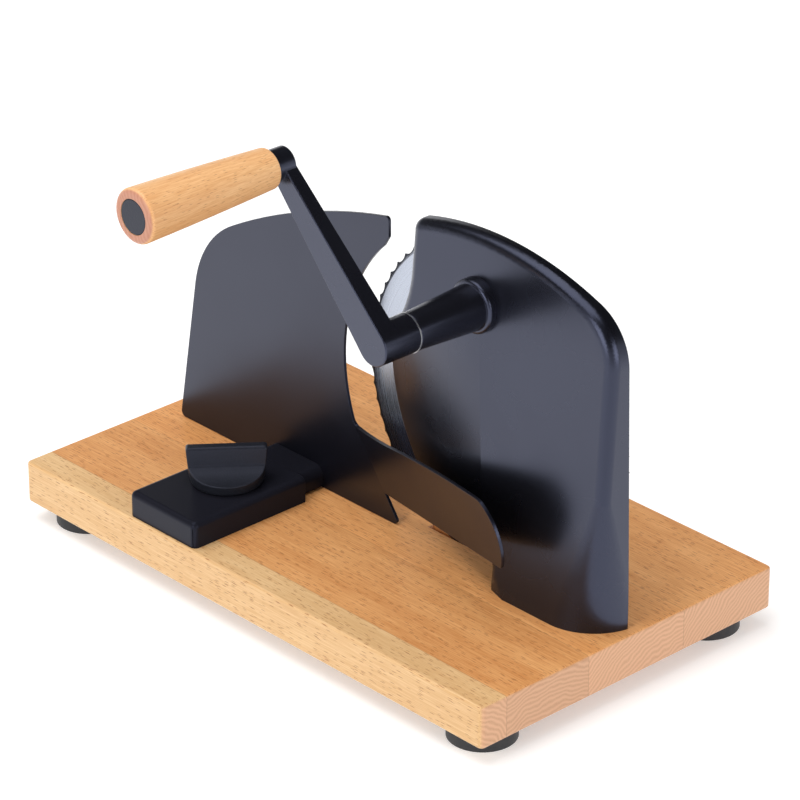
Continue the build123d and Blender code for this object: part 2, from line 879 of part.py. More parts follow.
def pin_clip():
    """Retaining clip that keeps the grip on the pin."""
    ring = cylinder_y(pin_head_radius, pin_head_y(), pin_head_y() + pin_head_thickness, eye_x, eye_h)
    ring -= cylinder_y(pin_radius - 0.8, -300, 60, eye_x, eye_h)
    return ring - block(eye_x - 2, eye_x + 2, -300, 60, eye_h - 30, eye_h)


# --- stop plate -------------------------------------------------------------
def plate_arc_point(angle):
    return around(blade_x, blade_h, blade_radius + blade_clearance, angle)


def fold_corner(angle):
    """Point on the round inner corner between the plate's edge and the deflector's."""
    return around(fold_corner_x, fold_corner_h, fold_corner_radius, angle)


def fold_line_x(h):
    """Where the fold lies at a height."""
    top = fold_corner(fold_top_angle)
    return fold_foot[0] + (top[0] - fold_foot[0]) * (h - fold_foot[1]) / (top[1] - fold_foot[1])


def plate_outline():
    """Stop plate: leaning left edge, long crown, and the arc round the blade."""
    tip_low = plate_tip_h - plate_tip_drop
    arc_start = degrees(atan2(tip_low - 4.7 - blade_h, plate_tip_x - 4.3 - blade_x))
    arc_top = plate_arc_point(arc_start)
    arc_low = plate_arc_point(fold_edge_angle)
    fold_top = fold_corner(fold_top_angle)
    slope = (plate_lean_x - plate_foot_x) / plate_lean_h
    shoulder = (plate_foot_x + slope * plate_shoulder_h, plate_shoulder_h)
    foot_right = (fold_line_x(gap), gap)
    edges = [
        Line((plate_foot_x, gap), foot_right),
        Line(foot_right, fold_top),
        ThreePointArc(fold_top, fold_corner((fold_top_angle + fold_edge_angle) / 2), arc_low),
        ThreePointArc(arc_low, plate_arc_point((arc_start + fold_edge_angle) / 2), arc_top),
        Line(arc_top, (plate_tip_x, tip_low)),
        Line((plate_tip_x, tip_low), (plate_tip_x, plate_tip_h)),
        RadiusArc((plate_tip_x, plate_tip_h), shoulder, -plate_top_radius),
        Line(shoulder, (plate_foot_x, gap)),
    ]
    face = make_face(Curve() + edges)
    face = fillet(nearest(face.vertices(), (*shoulder, 0)), plate_shoulder_radius)
    face = fillet(nearest(face.vertices(), (plate_tip_x, plate_tip_h, 0)), 2)
    face = fillet(nearest(face.vertices(), (plate_tip_x, tip_low, 0)), 3)
    face = fillet(nearest(face.vertices(), (*foot_right, 0)), 2)
    return fillet(nearest(face.vertices(), (plate_foot_x, gap, 0)), 3)


def tab_outline():
    """Slice deflector as it lies in the flat sheet, before it is folded."""
    fold_top = fold_corner(fold_top_angle)
    corner_end = fold_corner(272)
    low_left = (fold_line_x(tab_low_h), tab_low_h)
    run = tab_end_low_x - low_left[0]
    low_right = (tab_end_low_x, tab_low_h + run * tan(radians(tab_low_rise)))
    edges = [
        Line(fold_top, low_left),
        Line(low_left, low_right),
        ThreePointArc(low_right, tab_end_middle(low_right, tab_end_high), tab_end_high),
        ThreePointArc(tab_end_high, tab_swell, tab_turn),
        ThreePointArc(tab_turn, tab_hollow, corner_end),
        ThreePointArc(corner_end, fold_corner((fold_top_angle + 272) / 2), fold_top),
    ]
    face = make_face(Curve() + edges)
    face = fillet(nearest(face.vertices(), (*tab_end_high, 0)), tab_end_round)
    return fillet(nearest(face.vertices(), (*low_right, 0)), 0.8)


def tab_end_middle(low, high):
    """Middle of the round end, from its radius and its two ends."""
    dx = high[0] - low[0]
    dh = high[1] - low[1]
    chord = sqrt(dx ** 2 + dh ** 2)
    bulge = tab_end_radius - sqrt(tab_end_radius ** 2 - (chord / 2) ** 2)
    return ((low[0] + high[0]) / 2 + bulge * dh / chord, (low[1] + high[1]) / 2 - bulge * dx / chord)


def stop_plate():
    """Flat plate with the slice deflector folded forward from its right edge."""
    plate = slab(plate_outline(), plate_front_y, plate_back_y)
    tab = slab(tab_outline(), plate_front_y, plate_back_y)
    start = (fold_foot[0], plate_back_y, fold_foot[1])
    top_x, top_h = fold_corner(fold_top_angle)
    direction = (top_x - fold_foot[0], 0, top_h - fold_foot[1])
    tab = tab.rotate(Axis(start, direction), -fold_angle)
    plate += tab
    for x in slide_screw_xs():
        plate -= slide_screw(x)
    return plate


# --- slide and guide box ----------------------------------------------------
def channel_outline(width, low, high, radius):
    """Upright rectangle with its two top corners rounded."""
    face = Pos(slide_x, (low + high) / 2) * Rectangle(width, high - low)
    tops = face.vertices().group_by(Axis.Y)[-1]
    return fillet(tops, radius)


def slide_arm():
    """Channel that carries the stop plate and slides in the guide box."""
    outside = channel_outline(slide_width, slide_low_h, slide_high_h, slide_edge_radius)
    inside = channel_outline(
        slide_width - 2 * slide_wall,
        slide_low_h - 5,
        slide_high_h - slide_wall,
        slide_edge_radius - slide_wall,
    )
    arm = slab(outside, slide_front_y, plate_front_y)
    arm -= slab(inside, slide_front_y - 1, plate_front_y - slide_tab)
    arm -= clamp_slot()
    for x in slide_screw_xs():
        arm -= slide_screw(x)
    return arm


def clamp_slot():
    """Slot in the channel that the clamp stud passes through over the travel."""
    radius = stud_radius + gap
    y_from = knob_y - thickness_travel_in - gap
    y_to = knob_y + thickness_travel_out + gap
    slot = block(slide_x - radius, slide_x + radius, y_from, y_to, 6, 20)
    slot += cylinder_z(radius, 6, 20, slide_x, y_from)
    return slot + cylinder_z(radius, 6, 20, slide_x, y_to)


def slide_screw_xs():
    return [slide_x - slide_screw_spread / 2, slide_x + slide_screw_spread / 2]


def slide_screw(x):
    """Screw through the stop plate into the channel's end, flush on the loaf side."""
    tip = plate_front_y - slide_tab - 1.5
    return countersunk_y(x, slide_screw_h, plate_back_y, tip, slide_screw_shank, slide_screw_head)


def guide_box():
    """Folded sheet cover that guides the slide."""
    cover = block(box_left_x, box_right_x, box_front_y, box_back_y, 0, box_height)
    cover = fillet(outer_corners(cover, box_height, box_back_y, box_front_y), box_edge_radius)
    cover -= box_room()
    mouth = channel_outline(
        slide_width + 2 * gap,
        -5,
        slide_high_h + gap,
        slide_edge_radius + gap,
    )
    cover -= slab(mouth, box_back_y - sheet - 1, box_back_y + 1)
    cover += box_flanges()
    for x in (box_left_x + sheet, box_right_x - sheet - seam_width):
        seam_end = box_front_y + box_edge_radius
        cover -= block(x, x + seam_width, box_front_y - 1, seam_end, -1, box_height - box_edge_radius)
    cover -= cylinder_z(stud_radius + gap, 0, 30, slide_x, knob_y)
    for x, y in guide_screw_places():
        cover -= cylinder_z(guide_screw_shank, -1, 5, x, y)
    return cover


def box_room():
    """The space inside the cover."""
    room = block(
        box_left_x + sheet,
        box_right_x - sheet,
        box_front_y + sheet,
        box_back_y - sheet,
        -5,
        box_height - sheet,
    )
    corners = outer_corners(room, box_height - sheet, box_back_y - sheet, box_front_y + sheet)
    return fillet(corners, box_edge_radius - sheet)


def outer_corners(form, top, back, front):
    """Top edges except the rear one, and the two upright edges at the front."""
    tops = [e for e in form.edges() if e.center().Z > top - 0.1 and e.center().Y < back - 0.1]
    uprights = [e for e in form.edges().filter_by(Axis.Z) if e.center().Y < front + 0.1]
    return tops + uprights


def box_flanges():
    """Strips turned in at the foot of the long sides, under the guide plate."""
    y_from = box_front_y + sheet + 1
    y_to = box_back_y - sheet - 1
    left = block(box_left_x + sheet, box_left_x + sheet + flange_reach, y_from, y_to, 0, flange_thickness)
    right = block(box_right_x - sheet - flange_reach, box_right_x - sheet, y_from, y_to, 0, flange_thickness)
    return left + right


def guide_plate():
    """Steel rail inside the channel, screwed down through the cover's flanges."""
    half = slide_width / 2 - slide_wall - gap
    top = flange_thickness + guide_plate_thickness
    y_from = box_front_y + sheet + 1
    y_to = box_back_y - sheet - 1
    plate = block(slide_x - half, slide_x + half, y_from, y_to, flange_thickness, top)
    for x, y in guide_screw_places():
        plate -= guide_screw(x, y)
    return plate


def guide_screw(x, y):
    """Flat head wood screw, flush with the guide plate."""
    top = flange_thickness + guide_plate_thickness
    profile = [
        (0, top),
        (guide_screw_head, top),
        (guide_screw_shank, top - guide_screw_head + guide_screw_shank),
        (guide_screw_shank, -10),
        (0, -13),
    ]
    return turned_z(profile, x, y)


def clamp_nut():
    """Loose nut plate under the channel's web."""
    top = slide_high_h - slide_wall - gap
    nut = block(
        slide_x - nut_width / 2,
        slide_x + nut_width / 2,
        knob_y - nut_length / 2,
        knob_y + nut_length / 2,
        top - nut_thickness,
        top,
    )
    nut = chamfer(nut.edges().filter_by(Axis.Z), 2)
    return nut - cylinder_z(stud_radius + running_fit, -20, 40, slide_x, knob_y)


def clamp_stud():
    """Threaded stud moulded into the knob."""
    low = flange_thickness + guide_plate_thickness + gap
    stud = cylinder_z(stud_radius, low, box_height + gap + 8, slide_x, knob_y)
    return chamfer(stud.faces().sort_by(Axis.Z)[0].edges(), 0.6)


def knob_section():
    """The knob cut across its wing: a hollowed ramp on either side of the wing."""
    foot = knob_wing_foot / 2
    top = knob_wing_top / 2
    reach = knob_wing_radius + 1
    middle_x = (reach + foot) / 2
    middle_h = (knob_rim_height + knob_root_height) / 2 - knob_ramp_sag
    edges = [
        Line((-reach, 0), (reach, 0)),
        Line((reach, 0), (reach, knob_rim_height)),
        ThreePointArc((reach, knob_rim_height), (middle_x, middle_h), (foot, knob_root_height)),
        Line((foot, knob_root_height), (top, knob_height)),
        Line((top, knob_height), (-top, knob_height)),
        Line((-top, knob_height), (-foot, knob_root_height)),
        ThreePointArc((-foot, knob_root_height), (-middle_x, middle_h), (-reach, knob_rim_height)),
        Line((-reach, knob_rim_height), (-reach, 0)),
    ]
    face = make_face(Curve() + edges)
    for side in (-1, 1):
        root = nearest(face.vertices(), (side * foot, knob_root_height, 0))
        face = fillet(root, knob_root_round)
    return face


def clamp_knob():
    """Round knob with hollowed ramps that rise to an upright wing."""
    bar = Pos(-knob_wing_radius - 1, 0, 0) * extrude(Plane.YZ * knob_section(), amount=2 * knob_wing_radius + 2)
    envelope = [
        (0, 0),
        (knob_base_radius - 0.6, 0),
        (knob_base_radius, 0.6),
        (knob_rim_radius, knob_rim_height),
        (knob_wing_radius, knob_height),
        (0, knob_height),
    ]
    knob = bar & turned_z(envelope, 0, 0)
    crest = knob.faces().sort_by(Axis.Z)[-1]
    knob = fillet(crest.edges(), knob_crest_round)
    knob = Pos(slide_x, knob_y, box_height + gap) * Rot(0, 0, knob_angle) * knob
    return knob - cylinder_z(stud_radius, 0, box_height + gap + 8, slide_x, knob_y)


# --- write every piece ------------------------------------------------------
def main():
    os.makedirs("parts", exist_ok=True)
    housing, outside = blade_housing()
    pieces = {
        "base_board": base_board(),
        "foot_screws": join(foot_screw(x, y) for x, y in foot_centres().values()),
        "blade_housing": housing,
        "housing_screws": join(housing_screw(x, y) for x, y in housing_screw_places()),
        "back_plate": back_plate(),
        "back_plate_screws": join(plate_screw(x, h) for x, h in plate_screw_places()),
        "crank_sleeve": crank_sleeve(outside),
        "front_bush": bush(sleeve_front_y, bush_front_end()),
        "rear_bush": bush(bush_back_start(), sleeve_end()),
        "blade_axle": blade_axle(),
        "axle_washer": axle_washer(),
        "blade_cap_screw": blade_cap_screw(),
        "blade_gear": blade_gear(),
        "blade_disc": blade_disc(),
        "blade_screws": join(blade_screw(x, h) for x, h in blade_screw_places()),
        "crank_arm": crank_arm(),
        "crank_shaft": crank_shaft(),
        "spacer_ring": spacer_ring(),
        "hub_set_screw": hub_set_screw(),
        "crank_pinion": crank_pinion(),
        "pinion_clip": pinion_clip(),
        "handle_pin": handle_pin(),
        "pin_clip": pin_clip(),
        "handle_grip": handle_grip(),
        "handle_plug": handle_plug(),
        "stop_plate": stop_plate(),
        "slide_arm": slide_arm(),
        "slide_screws": join(slide_screw(x) for x in slide_screw_xs()),
        "guide_box": guide_box(),
        "guide_plate": guide_plate(),
        "guide_screws": join(guide_screw(x, y) for x, y in guide_screw_places()),
        "clamp_nut": clamp_nut(),
        "clamp_stud": clamp_stud(),
        "clamp_knob": clamp_knob(),
    }
    for name, (x, y) in foot_centres().items():
        pieces[name] = foot(x, y)
    for name, shape in pieces.items():
        save(name, shape)


main()
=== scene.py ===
"""Hand cranked bread slicer on a glued beech board: finishes, screws, light and camera."""

import json
import math

import bmesh
import bpy
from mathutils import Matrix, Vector


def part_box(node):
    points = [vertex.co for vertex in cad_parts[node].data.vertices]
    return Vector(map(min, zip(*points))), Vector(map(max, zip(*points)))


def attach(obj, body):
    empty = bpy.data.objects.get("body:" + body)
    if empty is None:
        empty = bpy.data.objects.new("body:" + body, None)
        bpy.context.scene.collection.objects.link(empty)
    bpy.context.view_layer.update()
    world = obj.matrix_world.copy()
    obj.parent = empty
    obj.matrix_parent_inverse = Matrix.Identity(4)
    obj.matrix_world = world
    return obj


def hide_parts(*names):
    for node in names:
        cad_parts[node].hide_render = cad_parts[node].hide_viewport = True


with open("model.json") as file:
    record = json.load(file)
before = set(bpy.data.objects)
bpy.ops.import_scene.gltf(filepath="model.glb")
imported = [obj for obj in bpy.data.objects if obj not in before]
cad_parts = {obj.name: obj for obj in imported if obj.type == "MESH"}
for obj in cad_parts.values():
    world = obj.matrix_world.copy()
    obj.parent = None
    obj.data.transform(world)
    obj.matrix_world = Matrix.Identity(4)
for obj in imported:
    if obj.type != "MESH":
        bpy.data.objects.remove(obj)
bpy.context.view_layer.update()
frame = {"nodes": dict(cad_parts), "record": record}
solids = frame["nodes"]

MM = 1000  # millimetres in a metre
BLADE_CENTRE = (70.0, 0.0, 115.0)  # mm, on the blade's axle
BLADE_BEVEL = 87.0  # mm, radius where the ground bevel starts
CRANK_CENTRE = (70.0, 0.0, 176.5)  # mm, on the crank shaft
HANDLE_LOW, HANDLE_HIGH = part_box("handle_grip")
HANDLE_CENTRE = tuple(MM * (HANDLE_LOW[i] + HANDLE_HIGH[i]) / 2 for i in range(3))
STAVE_JOINTS = (-83.5, -28.9, 36.7)  # mm across the board, where the staves are glued
GLUE_LINE = 0.2  # mm, half the width of the line that shows at a joint
STAVE_SHIFT = 137.0  # how far patterns jump from stave to stave, so that no two look alike
FLECK_FILL = 0.6  # how much of its cell a ray fleck fills
RING_RATE = 2.6  # radians per mm, so growth rings stand 2.4 mm apart
PITH_START, PITH_STEP = 150.0, -95.0  # mm to the rings' centre, and its step per stave
PITH_DEPTH = 55.0  # mm that the rings' centre lies under the middle of the wood
GLOSS_SPREAD = 0.06  # how far roughness wanders on grained surfaces
SHARP_ANGLE = 32  # degrees from which an edge stays sharp


# --- materials --------------------------------------------------------------
def linear(code):
    """An sRGB hex colour as linear light."""
    parts = [int(code[i : i + 2], 16) / 255 for i in (1, 3, 5)]
    light = [p / 12.92 if p <= 0.04045 else ((p + 0.055) / 1.055) ** 2.4 for p in parts]
    return (*light, 1.0)


def add_node(tree, kind, inputs=(), **settings):
    """Adds one shader node, sets it up, and fills its inputs with sockets or values."""
    made = tree.nodes.new("ShaderNode" + kind)
    for name, value in settings.items():
        setattr(made, name, value)
    for key, value in dict(inputs).items():
        if isinstance(value, bpy.types.NodeSocket):
            tree.links.new(value, made.inputs[key])
        else:
            made.inputs[key].default_value = value
    return made


def calc(tree, operation, *values):
    """Arithmetic on numbers or sockets."""
    return add_node(tree, "Math", enumerate(values), operation=operation).outputs[0]


def move(tree, operation, *values):
    """Arithmetic on vectors."""
    return add_node(tree, "VectorMath", enumerate(values), operation=operation)


def remap(tree, value, low, high, start=0.0, end=1.0):
    """Stretches the range from low to high so that it runs from start to end."""
    span = {"Value": value, "From Min": low, "From Max": high, "To Min": start, "To Max": end}
    return add_node(tree, "MapRange", span).outputs[0]


def blend(tree, share, one, other):
    """A share of the other colour over the one."""
    return add_node(tree, "Mix", {0: share, 6: one, 7: other}, data_type="RGBA").outputs[2]


def new_finish(name, **surface):
    """A material with its main shader, whose sockets are set by name."""
    finish = bpy.data.materials.new(name)
    finish.use_nodes = True
    tree = finish.node_tree
    tree.nodes.clear()
    values = {key.replace("_", " "): value for key, value in surface.items()}
    shader = add_node(tree, "BsdfPrincipled", values)
    add_node(tree, "OutputMaterial", {"Surface": shader.outputs[0]})
    return finish, tree, shader


def place_in_mm(tree, stretch=(1, 1, 1), centre=(0, 0, 0)):
    """Object coordinates in millimetres from a centre, stretched along each axis."""
    scale = [MM * s for s in stretch]
    shift = [-c * s for c, s in zip(centre, stretch)]
    place = add_node(tree, "TexCoord").outputs["Object"]
    mapped = add_node(tree, "Mapping", {"Vector": place, "Location": shift, "Scale": scale})
    return mapped.outputs[0]


def roughen(tree, shader, height, depth_mm, strength, edge_mm):
    """Surface relief of a real depth, with edges worn round by edge_mm."""
    worn = add_node(tree, "Bevel", {"Radius": edge_mm / MM}, samples=4).outputs[0]
    relief = add_node(
        tree,
        "Bump",
        {"Height": height, "Distance": depth_mm / MM, "Strength": strength, "Normal": worn},
    )
    tree.links.new(relief.outputs[0], shader.inputs["Normal"])


def beech(name, light, dark, fleck, pale, along, centre, marks, fibre, staves=(), first=None):
    """Oiled beech: fine fibres along the grain, short dark ray flecks, rings on the end grain.

    marks is (length in mm, width in mm, share of places that have one, strength), and first
    is the light and dark colour of the stave at the front edge.
    """
    finish, tree, shader = new_finish(name, Roughness=0.42, IOR=1.48, Specular_IOR_Level=0.4)

    def stretch(length, width):
        """Pattern scale for marks of that length and width in mm."""
        return [1 / length if axis == along else 1 / width for axis in range(3)]

    stave = 0.0
    seam = 0.0
    if staves:
        across = add_node(tree, "SeparateXYZ", {0: place_in_mm(tree, centre=centre)}).outputs[1]
        for joint in staves:
            stave = calc(tree, "ADD", stave, calc(tree, "GREATER_THAN", across, joint))
            seam = calc(tree, "ADD", seam, calc(tree, "COMPARE", across, joint, GLUE_LINE))
    shift = calc(tree, "MULTIPLY", stave, STAVE_SHIFT)
    offset = add_node(tree, "CombineXYZ", {0: shift, 1: shift, 2: shift}).outputs[0]

    def place_along(length, width):
        """Coordinates drawn out along the grain, different in each stave."""
        place = place_in_mm(tree, stretch(length, width), centre)
        return move(tree, "ADD", place, offset).outputs[0]

    def pattern(length, width, **noise):
        """Noise drawn out along the grain."""
        place = place_along(length, width)
        return add_node(tree, "TexNoise", {"Vector": place, "Scale": 1.0, **noise}).outputs[0]

    fibres = pattern(24, 0.55, Detail=4.0, Roughness=0.7)
    figure = pattern(120, 13, Detail=3.0, Roughness=0.5, Distortion=0.6)
    tone = remap(tree, figure, 0.3, 0.7, 0.0, 0.55)
    grain = remap(tree, fibres, 0.38, 0.62, -0.15 * fibre, fibre)
    depth = calc(tree, "ADD", tone, grain)
    base = blend(tree, depth, linear(light), linear(dark))
    if first:
        # The stave at the front edge was cut from a paler, yellower board.
        front = calc(tree, "LESS_THAN", stave, 0.5)
        base = blend(tree, front, base, blend(tree, depth, linear(first[0]), linear(first[1])))

    # Ray flecks: short brown dashes along the grain.
    length, width, share, strength = marks
    place = place_along(length / FLECK_FILL, width / FLECK_FILL)
    cells = add_node(tree, "TexVoronoi", {"Vector": place, "Scale": 1.0, "Randomness": 1.0})
    spot = remap(tree, cells.outputs[0], 0.31, 0.2)
    pick = add_node(tree, "SeparateXYZ", {0: cells.outputs["Color"]}).outputs[0]
    some = calc(tree, "LESS_THAN", pick, share)
    flecks = calc(tree, "MULTIPLY", calc(tree, "MULTIPLY", spot, some), strength)
    face = blend(tree, flecks, base, linear(fleck))

    # End grain: growth rings about a centre of their own in each stave, with fine pores.
    flat = [0.0 if axis == along else 1.0 for axis in range(3)]
    section = place_in_mm(tree, flat, centre)
    beside = calc(tree, "MULTIPLY_ADD", stave, PITH_STEP, PITH_START)
    pith = add_node(tree, "CombineXYZ", {0: beside, 1: beside, 2: PITH_DEPTH}).outputs[0]
    pith = move(tree, "MULTIPLY", pith, flat).outputs[0]
    reach = move(tree, "LENGTH", move(tree, "ADD", section, pith).outputs[0]).outputs[1]
    wobble = add_node(tree, "TexNoise", {"Vector": section, "Scale": 0.06, "Detail": 2.0})
    reach = calc(tree, "ADD", reach, calc(tree, "MULTIPLY", wobble.outputs[0], 9.0))
    rings = calc(tree, "SINE", calc(tree, "MULTIPLY", reach, RING_RATE))
    rings = remap(tree, rings, -1.0, 1.0, 0.05, 0.62)
    pores = add_node(tree, "TexNoise", {"Vector": section, "Scale": 1.6, "Detail": 3.0})
    ends = calc(tree, "MULTIPLY", rings, pores.outputs[0])
    end_grain = blend(tree, ends, linear(pale), linear(fleck))
    side = add_node(tree, "SeparateXYZ", {0: add_node(tree, "TexCoord").outputs["Normal"]})
    is_end = remap(tree, calc(tree, "ABSOLUTE", side.outputs[along]), 0.55, 0.85)
    colour = blend(tree, is_end, face, end_grain)
    if staves:
        # Each stave comes from another board, so its tone differs a little.
        drawn = add_node(tree, "TexWhiteNoise", {"W": stave}, noise_dimensions="1D").outputs[0]
        level = remap(tree, drawn, 0.0, 1.0, 0.93, 1.05)
        colour = add_node(tree, "HueSaturation", {"Color": colour, "Value": level}).outputs[0]
        colour = blend(tree, calc(tree, "MULTIPLY", seam, 0.3), colour, linear("#7A4B24"))
    tree.links.new(colour, shader.inputs["Base Color"])
    roughen(tree, shader, fibres, 0.05, 0.5, 0.6)
    return finish


def powder_coat(name, code, roughness, level):
    """Black polyester powder coat: satin, with a fine orange peel that softens reflections."""
    finish, tree, shader = new_finish(
        name,
        Base_Color=linear(code),
        IOR=1.55,
        Specular_IOR_Level=level,
        Specular_Tint=linear("#C1CAF4"),
    )
    peel = add_node(tree, "TexNoise", {"Vector": place_in_mm(tree), "Scale": 0.8, "Detail": 3.0})
    cloud = add_node(tree, "TexNoise", {"Vector": place_in_mm(tree), "Scale": 0.03, "Detail": 2.0})
    gloss = remap(tree, cloud.outputs[0], 0.3, 0.7, roughness - 0.03, roughness + 0.03)
    tree.links.new(gloss, shader.inputs["Roughness"])
    roughen(tree, shader, peel.outputs[0], 0.006, 0.6, 0.45)
    return finish


def turned_metal(name, code, roughness, centre, pitch, radial, band=None):
    """Metal finished on a lathe or ground in a spin: fine rings about the axis along Y.

    A band is (radius in mm, colour): what is ground anew outside that radius.
    """
    finish, tree, shader = new_finish(name, Base_Color=linear(code), Metallic=1.0)
    flat = (1, 0, 1) if radial else (0, 1, 0)
    reach = move(tree, "LENGTH", place_in_mm(tree, flat, centre)).outputs[1]
    if band:
        ground = remap(tree, reach, band[0] - 0.1, band[0] + 0.1)
        colour = blend(tree, ground, linear(code), linear(band[1]))
        tree.links.new(colour, shader.inputs["Base Color"])
    rings = add_node(
        tree,
        "TexNoise",
        {"W": reach, "Scale": 1 / pitch, "Detail": 3.0, "Roughness": 0.7},
        noise_dimensions="1D",
    ).outputs[0]
    gloss = remap(tree, rings, 0.25, 0.75, roughness - 0.06, roughness + 0.08)
    tree.links.new(gloss, shader.inputs["Roughness"])
    roughen(tree, shader, rings, 0.004, 0.5, 0.15)
    return finish


def grained(name, code, tint, roughness, grit, depth, metallic=0.0, level=0.5, sheen="#FFFFFF"):
    """A surface with an even fine grain, grit in mm: moulded, plated, sintered or rubber."""
    finish, tree, shader = new_finish(
        name, Metallic=metallic, Specular_IOR_Level=level, Specular_Tint=linear(sheen)
    )
    grain = add_node(
        tree, "TexNoise", {"Vector": place_in_mm(tree), "Scale": 1 / grit, "Detail": 4.0}
    ).outputs[0]
    tree.links.new(blend(tree, grain, linear(code), linear(tint)), shader.inputs["Base Color"])
    gloss = remap(tree, grain, 0.3, 0.7, roughness - GLOSS_SPREAD, roughness + GLOSS_SPREAD)
    tree.links.new(gloss, shader.inputs["Roughness"])
    roughen(tree, shader, grain, depth, 0.6, 0.2)
    return finish


# Oiled beech, planed and sanded: warm tan with short brown flecks, pinker on the end grain.
board_beech = beech(
    "oiled_beech_board", "#F2B577", "#D48F52", "#9A5B2F", "#E2B18B", 0, (0, 0, 0),
    (4.0, 0.4, 0.6, 0.8), 0.8, STAVE_JOINTS, ("#EDC794", "#D9AC76"),
)
# The same wood turned on a lathe for the grip: lighter, with a pink end.
grip_beech = beech(
    "turned_beech_grip", "#F1C18B", "#DB9E66", "#9C5A31", "#C48C74", 1, HANDLE_CENTRE,
    (3.0, 0.3, 0.4, 0.6), 0.6,
)
# Powder coated sheet steel: black with a slate sheen.
sheet_coat = powder_coat("satin_black_coated_sheet", "#0E0E14", 0.31, 0.5)
# The same coat on the drawn housing: a little glossier.
housing_coat = powder_coat("satin_black_coated_housing", "#0E0E12", 0.28, 0.62)
# The same coat, flatter, on the guide's small folded pieces.
guide_coat = powder_coat("flat_black_coated_guide", "#1B1B22", 0.33, 0.12)
# The same coat on turned and forged pieces.
arm_coat = powder_coat("satin_black_coated_forging", "#131318", 0.27, 0.68)
# Stainless knife steel, ground in a spin: fine rings, and a duller bevel.
knife_steel = turned_metal(
    "ground_stainless_blade", "#999EA9", 0.24, BLADE_CENTRE, 0.9, True, (BLADE_BEVEL, "#6A6D75")
)
# Turned bright steel: rings along the shaft.
bright_steel = turned_metal("turned_bright_steel", "#BFC0C2", 0.28, CRANK_CENTRE, 0.7, False)
# Zinc plated steel: pale, slightly cloudy crystals.
zinc_plate = grained("zinc_plated_steel", "#B9BDC2", "#A4A8AE", 0.36, 3.0, 0.002, metallic=1.0)
# Sintered bronze: matt and open pored.
bush_bronze = grained("sintered_bronze", "#A9793F", "#8C6232", 0.5, 0.4, 0.01, metallic=1.0)
# Moulded acetal, natural: off white and slightly waxy.
gear_acetal = grained("moulded_natural_acetal", "#DDD8C9", "#D3CDBB", 0.42, 2.0, 0.003)
# Glass filled nylon from a spark eroded mould: near black with a fine pebble.
knob_nylon = grained(
    "pebbled_black_nylon", "#15161B", "#25272E", 0.42, 0.7, 0.14, level=0.33, sheen="#CBD1F2"
)
# Moulded black rubber: matt, nearly even.
foot_rubber = grained("moulded_black_rubber", "#17171A", "#1E1E21", 0.62, 0.8, 0.01)

finishes = {
    board_beech: ["base_board"],
    grip_beech: ["handle_grip"],
    sheet_coat: ["stop_plate"],
    housing_coat: ["blade_housing"],
    guide_coat: ["guide_box", "slide_arm"],
    arm_coat: ["crank_arm", "crank_sleeve"],
    knife_steel: ["blade_disc"],
    bright_steel: [
        "crank_shaft", "handle_pin", "pin_clip", "pinion_clip", "spacer_ring", "blade_axle",
        "axle_washer", "clamp_stud", "clamp_nut", "crank_pinion", "blade_cap_screw",
    ],
    zinc_plate: [
        "back_plate", "guide_plate", "foot_screws", "housing_screws", "back_plate_screws",
        "blade_screws", "hub_set_screw", "slide_screws", "guide_screws",
    ],
    bush_bronze: ["front_bush", "rear_bush"],
    gear_acetal: ["blade_gear"],
    knob_nylon: ["clamp_knob", "handle_plug"],
    foot_rubber: ["foot_front_left", "foot_front_right", "foot_rear_left", "foot_rear_right"],
}
body_of_node = {
    node: body for body, names in frame["record"]["behaviour"]["bodies"].items() for node in names
}


# --- finished copies of the solids ------------------------------------------
# Cross recesses: axis and way that the heads face, width and depth in mm.
drives = {
    "back_plate_screws": (1, 1, 3.2, 1.3),
    "blade_screws": (1, 1, 3.2, 1.3),
    "slide_screws": (1, 1, 3.4, 1.3),
    "foot_screws": (2, -1, 4.8, 1.5),
    "housing_screws": (2, -1, 4.8, 2.2),
    "guide_screws": (2, 1, 4.2, 1.8),
}
# Moulded pieces whose edges and inner corners are all rounded by the mould: voxel in mm.
moulded = {"clamp_knob": 0.28}


def screw_heads(mesh, axis, way):
    """Middle of each loose screw's head face in a mesh that holds several."""
    work = bmesh.new()
    work.from_mesh(mesh)
    left = set(work.verts)
    heads = []
    while left:
        waiting = [left.pop()]
        found = []
        while waiting:
            vert = waiting.pop()
            found.append(vert.co.copy())
            for edge in vert.link_edges:
                other = edge.other_vert(vert)
                if other in left:
                    left.remove(other)
                    waiting.append(other)
        low = [min(co[i] for co in found) for i in range(3)]
        high = [max(co[i] for co in found) for i in range(3)]
        middle = [(low[i] + high[i]) / 2 for i in range(3)]
        middle[axis] = high[axis] if way > 0 else low[axis]
        heads.append(Vector(middle))
    work.free()
    return sorted(heads, key=tuple)


